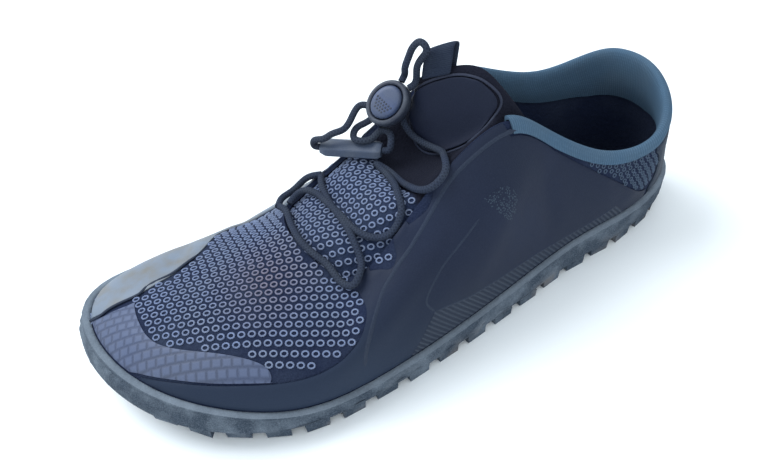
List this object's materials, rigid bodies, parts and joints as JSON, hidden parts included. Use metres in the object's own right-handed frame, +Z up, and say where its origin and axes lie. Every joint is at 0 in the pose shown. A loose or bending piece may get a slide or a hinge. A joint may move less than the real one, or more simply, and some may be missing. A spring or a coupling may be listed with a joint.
{
  "type": "trail running shoe",
  "caption": "Low trail shoe for the left foot with a thin lugged cup sole, mesh upper with smooth panels, padded collar, tongue and a sprung cord lock on the lace.",
  "frame": {"origin": "on the ground, under the middle of the sole's length and width", "axes": "+X to the toe, +Y to the outer side of this left shoe, +Z up"},
  "size_m": [0.2817, 0.1022, 0.1123],
  "materials": {
    "rubber_sole": "matte, dusty",
    "mesh_fabric": "open mesh with raised loops",
    "foot_bed": "matte",
    "collar_fabric": "soft ribbed knit",
    "black_sheet": "smooth, satin",
    "blue_film": "thin satin film",
    "counter_sheet": "matte sheet",
    "lace_cord": "round braided cord",
    "lock_plastic": "matte moulded",
    "webbing": "woven tape"
  },
  "bodies": {
    "shoe": {"outsole": "rubber_sole", "upper": "mesh_fabric", "insole": "foot_bed", "collar": "collar_fabric", "tongue": "mesh_fabric", "side_panel_outer": "black_sheet", "side_panel_inner": "black_sheet", "toe_film": "blue_film", "heel_counter": "counter_sheet", "tongue_panel": "black_sheet", "lace_zigzag": "lace_cord", "lace_hairpin": "lace_cord", "lace_tail_inner": "lace_cord", "lace_tail_outer": "lace_cord", "cord_lock_body": "lock_plastic", "lace_grip": "lock_plastic", "tongue_pull_loop": "webbing"},
    "lock_button": {"cord_lock_button": "lock_plastic"}
  },
  "joints": [
    {"name": "lock_press", "type": "slide", "parent": "shoe", "child": "lock_button", "axis": [-0.5514, -0.4511, -0.7018], "range_m": [0, 0.0025], "stiffness_N_per_m": 600, "springref_m": -0.001}
  ]
}
